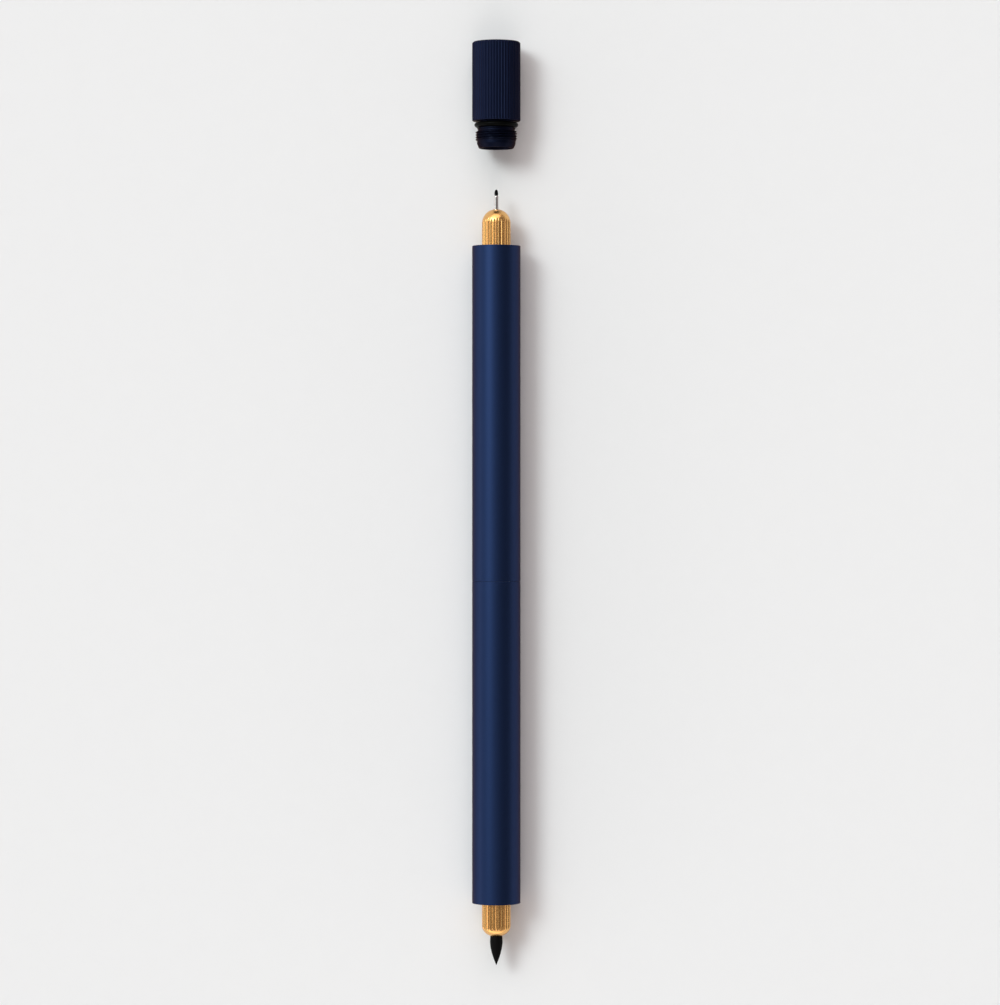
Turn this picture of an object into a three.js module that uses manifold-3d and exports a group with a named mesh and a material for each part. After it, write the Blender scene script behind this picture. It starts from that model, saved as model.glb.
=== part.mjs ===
// A double-ended pen that lies on a table: a fineliner nib at the +Y end and a brush nib at the -Y end.
// Two turned barrels screw together at a seam on a hidden joiner. Each end holds a fluted nib holder, screwed
// into a ring inside the barrel, and an ink cartridge. A fluted screw cap lies off the fineliner end.
// Sizes are in millimetres, +Z is up, and the origin is under the middle of the whole length, on the table.
import * as THREE from "three";
import { mergeVertices } from "three/addons/utils/BufferGeometryUtils.js";
import Module from "manifold-3d";

// Fits
const RUNNING_FIT = 0.05; // radial clearance between pieces that turn, slide or push into each other
const GLUE_GAP = 0.03; // radial gap between pieces that are glued, and under a seal
const SEAT_GAP = 0.05; // axial gap between faces that meet
const SEAM_GAP = 0.02; // hairline between the two barrels

// Barrels
const BARREL_DIAMETER = 10;
const BARREL_WALL = 0.65;
const FINELINER_BARREL_LENGTH = 69.4;
const BRUSH_BARREL_LENGTH = 66.6;
const RIM_CHAMFER = 0.15;
const SEAM_CHAMFER = 0.06;
const SEAL_SEAT_DEPTH = 0.23; // how much further out the mouth's seal seat is than the bore

// Cap
const CAP_DIAMETER = 10;
const CAP_END_WALL = 1.3;
const CAP_CHAMFER = 0.3;
const CAP_SHOULDER_CHAMFER = 0.15;
const CAP_FLUTES = 50;
const CAP_NIB_CLEARANCE = 2.2; // between a closed cap's end wall and the longer nib
const CAP_BORE_CLEARANCE = 0.15; // radial, round the nib holder
const CAP_SPIGOT_WALL = 0.4; // under the seal
const CAP_RING_CORD = 1;
const CAP_RING_SLACK = 0.6; // how much wider the seal's groove is than its cord
const CAP_THREAD_LENGTH = 2.5;
const CAP_PILOT_LENGTH = 1.55;
const CAP_PILOT_TAPER_LENGTH = 0.9;
const CAP_PILOT_TAPER_DEPTH = 0.35;
const CAP_TO_NIB = 8.5; // how far the cap's mouth lies from the fineliner's point

// Threads, and the shares of a pitch that half a ridge takes at its foot and at its crest
const BARREL_THREAD_DEPTH = 0.3; // of the cap and the joiner, which fit the barrels
const BARREL_THREAD_PITCH = 0.5;
const FEMALE_THREAD_DEPTH = 0.25;
const HOLDER_THREAD_DEPTH = 0.35;
const HOLDER_THREAD_PITCH = 0.8;
const RIDGE_FOOT = 0.34;
const RIDGE_CREST = 0.08;

// Nib holders
const HOLDER_STRAIGHT = 4.75; // from the barrel's rim to where the dome starts
const FINELINER_DOME_HEIGHT = 2.9;
const BRUSH_DOME_HEIGHT = 2.25;
const HOLDER_FLUTES = 28;
const HOLDER_SHOULDER_WIDTH = 0.23; // how much further out the head is than its seal's pocket
const HOLDER_NECK_WALL = 0.44; // under the seal
const HOLDER_NOSE_WALL = 1.3; // along the axis, from the dome's top to the bore
const HOLDER_RING_CORD = 0.6;
const HOLDER_POCKET_FLOOR = 0.12; // radial width of the seal pocket's floor
const HOLDER_THREAD_LENGTH = 3.2;
const HOLDER_SPIGOT_STEP = 0.1; // from the thread's root in to the spigot
const HOLDER_SPIGOT_LENGTH = 3;
const SEAT_RING_CLEARANCE = 0.3; // between a closed cap's mouth and the ring that takes a holder

// Flutes of the cap and the holders, and the share of a flute's pitch that half a land takes
const FLUTE_DEPTH = 0.14;
const HALF_LAND = 0.28;

// Fineliner nib
const NIB_DIAMETER = 0.76;
const NIB_REACH = 11.7; // from the barrel's rim to the nib's point
const NIB_EXPOSED = 1.35;
const NIB_ROUNDING = 0.95; // length of the bullet-shaped point
const NIB_POINT_DIAMETER = 0.26;
const SLEEVE_WALL = 0.11;
const SLEEVE_GRIP = 3.5; // how far the sleeve runs into its carrier
const SLEEVE_MOUTH_CHAMFER = 0.06;

// Brush nib
const BRUSH_CARRIER_WALL = 0.25;
const BRUSH_REACH = 12.9; // from the barrel's rim to the brush's point
const BRUSH_TAPER_LENGTH = 4.9;
const BRUSH_TAPER_POWER = 1.5;

// Ink cartridges
const NIB_TAIL = 5; // how far a nib reaches into the ink core
const CARTRIDGE_CLEARANCE = 0.25; // radial, inside the barrel
const CARTRIDGE_WALL = 0.5;
const CORE_CLEARANCE = 0.35; // between a holder's spigot and the ink core
const PLUG_FLANGE = 0.8;
const PLUG_LENGTH = 3;

// Joiner, glued in the brush barrel and screwed into the fineliner barrel
const JOINER_GLUED_LENGTH = 6;
const JOINER_LAND = 0.25;
const JOINER_RING_CORD = 0.9;
const JOINER_RING_SLACK = 0.2;
const JOINER_WALL = 0.57; // under the seal
const JOINER_THREAD_LENGTH = 3;
const JOINER_PILOT_LENGTH = 1;
const JOINER_PILOT_CHAMFER = 0.3;

// How finely round shapes are cut
const SIDES = 28;
const SLIM_SIDES = 20;
const CORD_SIDES = 8;
const THREAD_SIDES = 16;
const DOME_STEPS = 6;
const NIB_STEPS = 5;
const BRUSH_STEPS = 9;

// Cutting and joining
const PAST = 1; // how far a cutting shape runs past what it cuts
const NOSE_START = 0.9; // share of the nose hole's radius at which a dome's outline starts
const MERGE_DISTANCE = 1e-5; // corners closer than this are one

// Sizes that follow: the barrels and the cap, from the outside in
const barrelRadius = BARREL_DIAMETER / 2;
const boreRadius = barrelRadius - BARREL_WALL;
const barrelThreadRadius = boreRadius - RUNNING_FIT;
const barrelThreadRoot = barrelThreadRadius - BARREL_THREAD_DEPTH;
const sealSeatRadius = boreRadius + SEAL_SEAT_DEPTH;
const capRadius = CAP_DIAMETER / 2;
const capRingRadius = sealSeatRadius - RUNNING_FIT;
const capGrooveRadius = capRingRadius - CAP_RING_CORD - GLUE_GAP;
const capBoreRadius = capGrooveRadius - CAP_SPIGOT_WALL;

// The cap's lengths from its shoulder, and the barrel's from its rim, which meet when the cap is closed
const capHeadLength = Math.max(NIB_REACH, BRUSH_REACH) + CAP_NIB_CLEARANCE + CAP_END_WALL;
const capThreadTop = -CAP_RING_CORD - CAP_RING_SLACK;
const capThreadBottom = capThreadTop - CAP_THREAD_LENGTH;
const capMouth = capThreadBottom - CAP_PILOT_LENGTH;
const seatRingFront = capMouth - SEAT_RING_CLEARANCE;

// The nib holders, from the outside in
const holderRadius = capBoreRadius - CAP_BORE_CLEARANCE;
const ringPocketRadius = holderRadius - HOLDER_SHOULDER_WIDTH;
const holderRingRadius = ringPocketRadius - RUNNING_FIT;
const holderNeckRadius = holderRingRadius - HOLDER_RING_CORD - GLUE_GAP;
const holderBoreRadius = holderNeckRadius - HOLDER_NECK_WALL;
const seatBoreRadius = ringPocketRadius - HOLDER_POCKET_FLOOR;
const holderThreadRadius = seatBoreRadius - RUNNING_FIT;
const holderThreadRoot = holderThreadRadius - HOLDER_THREAD_DEPTH;
const spigotRadius = holderThreadRoot - HOLDER_SPIGOT_STEP;

// The nib holders, from the front back
const headBack = seatRingFront + SEAT_GAP;
const ringPocketFloor = seatRingFront - HOLDER_RING_CORD - SEAT_GAP;
const holderThreadFront = ringPocketFloor - SEAT_GAP;
const holderThreadBack = holderThreadFront - HOLDER_THREAD_LENGTH;
const spigotBack = holderThreadBack - HOLDER_SPIGOT_LENGTH;

// The nibs and their carriers
const carrierRadius = holderBoreRadius - RUNNING_FIT;
const nibRadius = NIB_DIAMETER / 2;
const sleeveBoreRadius = nibRadius + GLUE_GAP;
const sleeveRadius = sleeveBoreRadius + SLEEVE_WALL;
const sleeveBack = boreEnd(FINELINER_DOME_HEIGHT) - SEAT_GAP - SLEEVE_GRIP;
const brushRadius = carrierRadius - BRUSH_CARRIER_WALL - RUNNING_FIT;

// The ink cartridges
const cartridgeRadius = boreRadius - CARTRIDGE_CLEARANCE;
const cartridgeBoreRadius = cartridgeRadius - CARTRIDGE_WALL;
const cartridgeFront = holderThreadBack - SEAT_GAP;
const coreFront = spigotBack - CORE_CLEARANCE;
const tailEnd = coreFront - NIB_TAIL;

// The joiner, from the seam up into the fineliner barrel
const joinerThreadBottom = JOINER_LAND + JOINER_RING_CORD + JOINER_RING_SLACK;
const joinerThreadTop = joinerThreadBottom + JOINER_THREAD_LENGTH;
const joinerReach = joinerThreadTop + JOINER_PILOT_LENGTH;
const joinerGrooveRadius = barrelThreadRadius - JOINER_RING_CORD - GLUE_GAP;
const joinerBoreRadius = joinerGrooveRadius - JOINER_WALL;

const wasm = await Module();
wasm.setup();

const materials = {
  anodised: new THREE.MeshStandardMaterial({ color: "#1b2c54", metalness: 0.75, roughness: 0.42 }),
  brass: new THREE.MeshStandardMaterial({ color: "#d9a24e", metalness: 1, roughness: 0.22 }),
  steel: new THREE.MeshStandardMaterial({ color: "#c9c6c4", metalness: 1, roughness: 0.2 }),
  aluminium: new THREE.MeshStandardMaterial({ color: "#b4b7bc", metalness: 1, roughness: 0.35 }),
  rubber: new THREE.MeshStandardMaterial({ color: "#101010", metalness: 0, roughness: 0.7 }),
  nib: new THREE.MeshStandardMaterial({ color: "#151414", metalness: 0, roughness: 0.8 }),
  plastic: new THREE.MeshStandardMaterial({ color: "#e8e6e0", metalness: 0, roughness: 0.5 }),
  inkCore: new THREE.MeshStandardMaterial({ color: "#23262e", metalness: 0, roughness: 0.95 }),
};

// A solid that can be joined and cut, from a closed geometry.
function solid(geometry) {
  const bare = new THREE.BufferGeometry();
  bare.setAttribute("position", geometry.getAttribute("position"));
  bare.setIndex(geometry.getIndex());
  const merged = mergeVertices(bare, MERGE_DISTANCE);
  const corners = merged.getIndex().array;
  const kept = [];
  for (let i = 0; i < corners.length; i += 3) {
    const [a, b, c] = corners.slice(i, i + 3);
    if (a !== b && b !== c && c !== a) kept.push(a, b, c);
  }
  return new wasm.Manifold(
    new wasm.Mesh({
      numProp: 3,
      vertProperties: new Float32Array(merged.getAttribute("position").array),
      triVerts: new Uint32Array(kept),
    }),
  );
}

// A named mesh from a solid.
function piece(name, shape, material) {
  const { vertProperties, triVerts } = shape.getMesh();
  const geometry = new THREE.BufferGeometry();
  geometry.setAttribute("position", new THREE.BufferAttribute(vertProperties, 3));
  geometry.setIndex(new THREE.BufferAttribute(triVerts, 1));
  geometry.computeVertexNormals();
  const mesh = new THREE.Mesh(geometry, material);
  mesh.name = name;
  return mesh;
}

// The radius of a round shape's corners, from the radius to the middle of its flats.
function toCorner(radius, sides) {
  return radius / Math.cos(Math.PI / sides);
}

// Turns an outline of [radius, y] points about the Y axis. It runs from the front back along the outside,
// and closes on itself unless both ends are on the axis. Radii are to the middle of each flat, and a flat
// faces down.
function turned(outline, sides = SIDES) {
  const onAxis = outline[0][0] === 0 && outline.at(-1)[0] === 0;
  const closed = onAxis ? outline : [...outline, outline[0]];
  const points = closed.map(([radius, y]) => new THREE.Vector2(toCorner(radius, sides), y)).reverse();
  return solid(new THREE.LatheGeometry(points, sides, Math.PI / sides));
}

// A plain cylinder between two heights.
function rod(radius, front, back, sides = SIDES) {
  return turned([[0, front], [radius, front], [radius, back], [0, back]], sides);
}

// The outline of a half-ellipse dome on the axis, from a radius near its top out to its foot.
function domeOutline(footRadius, foot, height, fromRadius) {
  const startAngle = Math.asin(fromRadius / footRadius);
  return Array.from({ length: DOME_STEPS + 1 }, (_, i) => {
    const angle = startAngle + ((Math.PI / 2 - startAngle) * i) / DOME_STEPS;
    return [footRadius * Math.sin(angle), foot + height * Math.cos(angle)];
  });
}

// A ring of round cord about the Y axis.
function cordRing(outsideRadius, cord, y, sides = SIDES) {
  const middle = outsideRadius - cord / 2;
  const cornerRadius = toCorner(cord / 2, CORD_SIDES);
  const section = Array.from({ length: CORD_SIDES }, (_, i) => {
    const angle = (2 * Math.PI * (i + 0.5)) / CORD_SIDES;
    return [middle + cornerRadius * Math.cos(angle), y - cornerRadius * Math.sin(angle)];
  });
  return turned(section, sides);
}

// A rod with a right-handed thread, between two heights. Its radii are those of its corners. Each column of
// the surface holds every turn's ridge, and what would pass an end of the rod is drawn in to the end's edge.
function threadedRod(coreRadius, crestRadius, pitch, from, to) {
  const ridge = [
    [coreRadius, -RIDGE_FOOT],
    [crestRadius, -RIDGE_CREST],
    [crestRadius, RIDGE_CREST],
    [coreRadius, RIDGE_FOOT],
  ];
  const lastTurn = Math.ceil((to - from) / pitch) + 1;
  const positions = [];
  for (let column = 0; column <= THREAD_SIDES; column++) {
    const angle = (2 * Math.PI * column) / THREAD_SIDES;
    const outline = [[0, from], [coreRadius, from]];
    for (let turn = -1; turn <= lastTurn; turn++) {
      for (const [radius, rise] of ridge) {
        const y = from + (turn + column / THREAD_SIDES + rise) * pitch;
        const isInside = y > from && y < to;
        outline.push(isInside ? [radius, y] : [coreRadius, THREE.MathUtils.clamp(y, from, to)]);
      }
    }
    outline.push([coreRadius, to], [0, to]);
    for (const [radius, y] of outline) positions.push(radius * Math.sin(angle), y, radius * Math.cos(angle));
  }
  const rows = positions.length / 3 / (THREAD_SIDES + 1);
  const triangles = [];
  for (let column = 0; column < THREAD_SIDES; column++) {
    for (let row = 0; row < rows - 1; row++) {
      const a = column * rows + row;
      const b = a + rows;
      triangles.push(a, b, b + 1, a, b + 1, a + 1);
    }
  }
  const geometry = new THREE.BufferGeometry();
  geometry.setAttribute("position", new THREE.Float32BufferAttribute(positions, 3));
  geometry.setIndex(triangles);
  return solid(geometry);
}

// A bar along the Y axis with straight V-shaped flutes all round, between two heights.
function flutedBar(radius, flutes, front, back) {
  const corners = [[-HALF_LAND, 0], [HALF_LAND, 0], [0.5, FLUTE_DEPTH]];
  const outline = [];
  for (let flute = 0; flute < flutes; flute++) {
    for (const [share, depth] of corners) {
      const angle = (2 * Math.PI * (flute + share)) / flutes;
      outline.push(new THREE.Vector2((radius - depth) * Math.sin(angle), (radius - depth) * Math.cos(angle)));
    }
  }
  const section = new THREE.Shape(outline);
  const bar = new THREE.ExtrudeGeometry(section, { depth: front - back, bevelEnabled: false });
  return solid(bar.rotateX(-Math.PI / 2).translate(0, back, 0));
}

// A barrel from its rim at y = 0 back to the seam, with a seal seat and a thread for a cap in its mouth.
function barrelSolid(length) {
  const tube = turned([
    [sealSeatRadius, 0],
    [barrelRadius - RIM_CHAMFER, 0],
    [barrelRadius, -RIM_CHAMFER],
    [barrelRadius, -length + SEAM_CHAMFER],
    [barrelRadius - SEAM_CHAMFER, -length],
    [boreRadius, -length],
    [boreRadius, capThreadBottom],
    [barrelThreadRadius, capThreadBottom],
    [barrelThreadRadius, capThreadTop],
    [sealSeatRadius, capThreadTop],
  ]);
  const minorRadius = toCorner(boreRadius, THREAD_SIDES);
  const thread = threadedRod(
    minorRadius,
    minorRadius + FEMALE_THREAD_DEPTH,
    BARREL_THREAD_PITCH,
    capThreadBottom,
    capThreadTop,
  );
  return tube.subtract(thread);
}

// The fluted cap with its shoulder at y = 0: a blind bore for the nib holder, and a threaded spigot below.
function capSolid() {
  const head = turned([
    [0, capHeadLength],
    [capRadius - CAP_CHAMFER, capHeadLength],
    [capRadius, capHeadLength - CAP_CHAMFER],
    [capRadius, CAP_SHOULDER_CHAMFER],
    [capRadius - CAP_SHOULDER_CHAMFER, 0],
    [0, 0],
  ], CAP_FLUTES);
  const spigot = turned([
    [0, CAP_SHOULDER_CHAMFER],
    [capGrooveRadius, CAP_SHOULDER_CHAMFER],
    [capGrooveRadius, capThreadBottom],
    [barrelThreadRoot, capThreadBottom],
    [barrelThreadRoot, capMouth + CAP_PILOT_TAPER_LENGTH],
    [barrelThreadRoot - CAP_PILOT_TAPER_DEPTH, capMouth],
    [0, capMouth],
  ]);
  const thread = threadedRod(
    barrelThreadRoot,
    barrelThreadRadius,
    BARREL_THREAD_PITCH,
    capThreadBottom,
    capThreadTop,
  );
  const fluted = head.intersect(flutedBar(capRadius, CAP_FLUTES, capHeadLength + PAST, -PAST));
  const bore = rod(capBoreRadius, capHeadLength - CAP_END_WALL, capMouth - PAST);
  return fluted.add(spigot).add(thread).subtract(bore);
}

// The ring glued in a barrel behind its mouth, with a thread for the nib holder and a pocket for its seal.
function seatRingSolid() {
  const outside = boreRadius - GLUE_GAP;
  return turned([
    [ringPocketRadius, seatRingFront],
    [outside, seatRingFront],
    [outside, holderThreadBack],
    [seatBoreRadius, holderThreadBack],
    [seatBoreRadius, ringPocketFloor],
    [ringPocketRadius, ringPocketFloor],
  ]);
}

// How far from the barrel's rim a holder's bore reaches into its dome.
function boreEnd(domeHeight) {
  return HOLDER_STRAIGHT + domeHeight - HOLDER_NOSE_WALL;
}

// A nib holder: a fluted head with a domed nose, a neck for its seal, a thread, and a spigot at the back.
function holderSolid(domeHeight, noseHoleRadius) {
  const dome = domeOutline(holderRadius, HOLDER_STRAIGHT, domeHeight, NOSE_START * noseHoleRadius);
  const body = turned([
    [0, dome[0][1]],
    ...dome,
    [holderRadius, headBack],
    [holderNeckRadius, headBack],
    [holderNeckRadius, holderThreadBack],
    [spigotRadius, holderThreadBack],
    [spigotRadius, spigotBack],
    [0, spigotBack],
  ], HOLDER_FLUTES);
  const thread = threadedRod(
    holderThreadRoot,
    holderThreadRadius,
    HOLDER_THREAD_PITCH,
    holderThreadBack,
    holderThreadFront,
  );
  const beyondNose = HOLDER_STRAIGHT + domeHeight + PAST;
  const fluted = body.intersect(flutedBar(holderRadius, HOLDER_FLUTES, beyondNose, spigotBack - PAST));
  const bore = rod(holderBoreRadius, boreEnd(domeHeight), spigotBack - PAST, SLIM_SIDES);
  const noseHole = rod(noseHoleRadius, beyondNose, HOLDER_STRAIGHT, SLIM_SIDES);
  return fluted.add(thread).subtract(bore).subtract(noseHole);
}

// The plastic carrier inside a nib holder, from the bore's end to the spigot's: a plain tube.
function carrierTube(domeHeight, insideRadius) {
  const front = boreEnd(domeHeight) - SEAT_GAP;
  return turned([
    [insideRadius, front],
    [carrierRadius, front],
    [carrierRadius, spigotBack],
    [insideRadius, spigotBack],
  ], SLIM_SIDES);
}

// The fineliner's carrier, whose front is opened out to grip the steel sleeve.
function finelinerCarrierSolid() {
  const front = boreEnd(FINELINER_DOME_HEIGHT);
  const grip = rod(sleeveRadius + GLUE_GAP, front, sleeveBack - SEAT_GAP, SLIM_SIDES);
  return carrierTube(FINELINER_DOME_HEIGHT, nibRadius + RUNNING_FIT).subtract(grip);
}

// The steel sleeve round the fineliner nib.
function sleeveSolid() {
  const mouth = NIB_REACH - NIB_EXPOSED;
  return turned([
    [sleeveBoreRadius, mouth],
    [sleeveRadius - SLEEVE_MOUTH_CHAMFER, mouth],
    [sleeveRadius, mouth - 2 * SLEEVE_MOUTH_CHAMFER],
    [sleeveRadius, sleeveBack],
    [sleeveBoreRadius, sleeveBack],
  ], SLIM_SIDES);
}

// The fineliner's fibre nib: a bullet-shaped point on a rod that runs back into the ink core.
function finelinerNibSolid() {
  const pointRadius = NIB_POINT_DIAMETER / 2;
  const point = Array.from({ length: NIB_STEPS + 1 }, (_, i) => {
    const angle = ((Math.PI / 2) * i) / NIB_STEPS;
    const radius = pointRadius + (nibRadius - pointRadius) * Math.sin(angle);
    return [radius, NIB_REACH - NIB_ROUNDING * (1 - Math.cos(angle))];
  });
  return turned([[0, NIB_REACH], ...point, [nibRadius, tailEnd], [0, tailEnd]], SLIM_SIDES);
}

// The brush nib: its point narrows from the rod by a power curve, and the rod runs back into the ink core.
function brushNibSolid() {
  const taper = Array.from({ length: BRUSH_STEPS }, (_, i) => {
    const share = 1 - (i + 1) / BRUSH_STEPS;
    const y = BRUSH_REACH - BRUSH_TAPER_LENGTH * (1 - share);
    return [brushRadius * (1 - share ** BRUSH_TAPER_POWER), y];
  });
  return turned([[0, BRUSH_REACH], ...taper, [brushRadius, tailEnd], [0, tailEnd]], SLIM_SIDES);
}

// A cartridge tube: its front is a socket on the holder's spigot, and its back is open for the plug.
function cartridgeSolid(back) {
  const socketRadius = spigotRadius + RUNNING_FIT;
  return turned([
    [socketRadius, cartridgeFront],
    [cartridgeRadius, cartridgeFront],
    [cartridgeRadius, back + PLUG_FLANGE + SEAT_GAP],
    [cartridgeBoreRadius, back + PLUG_FLANGE + SEAT_GAP],
    [cartridgeBoreRadius, coreFront],
    [socketRadius, coreFront],
  ]);
}

// The plug that closes a cartridge's back.
function plugSolid(back) {
  const plugRadius = cartridgeBoreRadius - RUNNING_FIT;
  return turned([
    [0, back + PLUG_FLANGE + PLUG_LENGTH],
    [plugRadius, back + PLUG_FLANGE + PLUG_LENGTH],
    [plugRadius, back + PLUG_FLANGE],
    [cartridgeRadius, back + PLUG_FLANGE],
    [cartridgeRadius, back],
    [0, back],
  ]);
}

// The fibre core that holds the ink, with a blind hole for the nib's tail.
function inkCoreSolid(back, tailRadius) {
  const front = coreFront - SEAT_GAP;
  const coreRadius = cartridgeBoreRadius - RUNNING_FIT;
  const core = rod(coreRadius, front, back + PLUG_FLANGE + PLUG_LENGTH + SEAT_GAP);
  return core.subtract(rod(tailRadius + RUNNING_FIT, front + PAST, tailEnd - SEAT_GAP, SLIM_SIDES));
}

// The joiner with the seam at y = 0: screwed into the fineliner barrel, and glued in the brush barrel below.
function joinerSolid() {
  const glued = boreRadius - GLUE_GAP;
  const body = turned([
    [joinerBoreRadius, joinerReach],
    [barrelThreadRoot - JOINER_PILOT_CHAMFER, joinerReach],
    [barrelThreadRoot, joinerReach - JOINER_PILOT_CHAMFER],
    [barrelThreadRoot, joinerThreadTop],
    [joinerGrooveRadius, joinerThreadTop],
    [joinerGrooveRadius, JOINER_LAND],
    [barrelThreadRadius, JOINER_LAND],
    [barrelThreadRadius, 0],
    [glued, 0],
    [glued, -JOINER_GLUED_LENGTH],
    [joinerBoreRadius, -JOINER_GLUED_LENGTH],
  ]);
  const thread = threadedRod(
    barrelThreadRoot,
    barrelThreadRadius,
    BARREL_THREAD_PITCH,
    joinerThreadBottom,
    joinerThreadTop,
  );
  const insideWall = joinerBoreRadius + JOINER_WALL / 2;
  return body.add(thread.subtract(rod(insideWall, joinerReach, 0)));
}

// The pieces that both ends have, in a group whose y = 0 is the barrel's rim and whose +Y points out of it.
function penEnd(name, { barrelLength, joinerInside, domeHeight, noseHoleRadius, tailRadius, nib, carrier }) {
  const cartridgeBack = -barrelLength + joinerInside + SEAT_GAP;
  const sealMiddle = seatRingFront - HOLDER_RING_CORD / 2;
  const seal = cordRing(holderRingRadius, HOLDER_RING_CORD, sealMiddle, SLIM_SIDES);
  const end = new THREE.Group();
  end.add(
    piece(`${name}_barrel`, barrelSolid(barrelLength), materials.anodised),
    piece(`${name}_seat_ring`, seatRingSolid(), materials.aluminium),
    piece(`${name}_holder`, holderSolid(domeHeight, noseHoleRadius), materials.brass),
    piece(`${name}_holder_o_ring`, seal, materials.rubber),
    piece(`${name}_nib_carrier`, carrier, materials.plastic),
    piece(`${name}_nib`, nib, materials.nib),
    piece(`${name}_cartridge`, cartridgeSolid(cartridgeBack), materials.plastic),
    piece(`${name}_ink_core`, inkCoreSolid(cartridgeBack, tailRadius), materials.inkCore),
    piece(`${name}_cartridge_plug`, plugSolid(cartridgeBack), materials.plastic),
  );
  return end;
}

const bothBarrels = FINELINER_BARREL_LENGTH + SEAM_GAP + BRUSH_BARREL_LENGTH;
const capShoulder = NIB_REACH + CAP_TO_NIB - capMouth; // above the fineliner barrel's rim
const aboveRim = capShoulder + capHeadLength;
const finelinerRim = (bothBarrels + BRUSH_REACH - aboveRim) / 2;

const finelinerEnd = penEnd("fineliner", {
  barrelLength: FINELINER_BARREL_LENGTH,
  joinerInside: joinerReach,
  domeHeight: FINELINER_DOME_HEIGHT,
  noseHoleRadius: sleeveRadius + RUNNING_FIT,
  tailRadius: nibRadius,
  nib: finelinerNibSolid(),
  carrier: finelinerCarrierSolid(),
});
finelinerEnd.add(piece("fineliner_sleeve", sleeveSolid(), materials.steel));
finelinerEnd.position.y = finelinerRim;

const brushEnd = penEnd("brush", {
  barrelLength: BRUSH_BARREL_LENGTH,
  joinerInside: JOINER_GLUED_LENGTH,
  domeHeight: BRUSH_DOME_HEIGHT,
  noseHoleRadius: brushRadius + RUNNING_FIT,
  tailRadius: brushRadius,
  nib: brushNibSolid(),
  carrier: carrierTube(BRUSH_DOME_HEIGHT, brushRadius + RUNNING_FIT),
});
brushEnd.rotation.z = Math.PI;
brushEnd.position.y = finelinerRim - bothBarrels;

const seam = new THREE.Group();
const joinerRingMiddle = (JOINER_LAND + joinerThreadBottom) / 2;
seam.add(
  piece("barrel_joiner", joinerSolid(), materials.aluminium),
  piece("joiner_o_ring", cordRing(barrelThreadRadius, JOINER_RING_CORD, joinerRingMiddle), materials.rubber),
);
seam.position.y = finelinerRim - FINELINER_BARREL_LENGTH - SEAM_GAP;

const cap = new THREE.Group();
cap.add(
  piece("cap_shell", capSolid(), materials.anodised),
  piece("cap_o_ring", cordRing(capRingRadius, CAP_RING_CORD, capThreadTop / 2), materials.rubber),
);
cap.position.y = finelinerRim + capShoulder;

const pen = new THREE.Group();
pen.add(finelinerEnd, brushEnd, seam, cap);
pen.position.z = Math.max(barrelRadius, capRadius);

export default pen;
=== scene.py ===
"""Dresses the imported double-ended pen: fine meshes, finishes, studio and camera.

Sizes in the classes are millimetres, and every mesh ends up in metres in the frame's own place.
"""

import logging
import math
from dataclasses import dataclass, field
from enum import Enum
from typing import Any

import bmesh
import bpy
from bpy.types import Material, Mesh, Node, NodeSocket, NodeTree, Object
from mathutils import Matrix, Vector


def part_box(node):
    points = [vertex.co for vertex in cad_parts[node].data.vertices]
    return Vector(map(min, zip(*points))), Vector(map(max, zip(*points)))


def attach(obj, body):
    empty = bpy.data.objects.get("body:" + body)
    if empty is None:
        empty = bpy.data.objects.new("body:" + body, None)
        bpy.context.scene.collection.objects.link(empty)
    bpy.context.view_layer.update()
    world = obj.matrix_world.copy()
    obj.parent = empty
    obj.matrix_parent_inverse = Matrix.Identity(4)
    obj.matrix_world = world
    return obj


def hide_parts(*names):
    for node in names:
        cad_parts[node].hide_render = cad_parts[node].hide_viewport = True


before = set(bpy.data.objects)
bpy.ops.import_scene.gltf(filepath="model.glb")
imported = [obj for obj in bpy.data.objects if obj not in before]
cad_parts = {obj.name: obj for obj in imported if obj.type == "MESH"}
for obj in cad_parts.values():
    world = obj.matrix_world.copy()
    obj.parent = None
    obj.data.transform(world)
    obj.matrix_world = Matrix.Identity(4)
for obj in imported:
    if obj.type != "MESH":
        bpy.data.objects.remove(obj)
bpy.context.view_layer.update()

LOG = logging.getLogger("pen")
MM = 0.001
# The pen lies on its barrel, so its axis is this high
AXIS_HEIGHT = 5.0
# Edges that turn by more than this stay sharp
SHARP_ANGLE = math.radians(32)
# Distance of the ring of points beside each rounded edge, which keeps the shading of the long wall flat
HOLD = 0.03
# A rounded corner takes at most this share of the wall on each side of it
LARGEST_REACH = 0.49
# How near its core a point must lie to be part of a thread
ON_CORE = 0.02
# Distances from the middle of a thread's ridge to its foot and to its crest, and the length over which
# a ridge fades at its ends, all as shares of the pitch
RIDGE_FOOT, RIDGE_CREST, RIDGE_FADE = 0.42, 0.1, 0.4
# Points nearer than the first are merged, and edges shorter than the second taken out, in metres
MERGE_DISTANCE, SHORTEST_EDGE = 1e-7, 1e-8
# The radius that most edges are rounded to, and that of the finer ones
EDGE, FINE = 0.1, 0.05
# Back of both nibs, inside the ink cores
NIB_BACK = -18.2

# The kinds of node that come most often
MATH, VECTOR_MATH = "ShaderNodeMath", "ShaderNodeVectorMath"
MAP_RANGE, NOISE = "ShaderNodeMapRange", "ShaderNodeTexNoise"

Point = tuple[float, float]


class End(Enum):
    """The two ends of the pen, by the names of their CAD nodes."""

    FINELINER = "fineliner"
    BRUSH = "brush"


# Small tools


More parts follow.
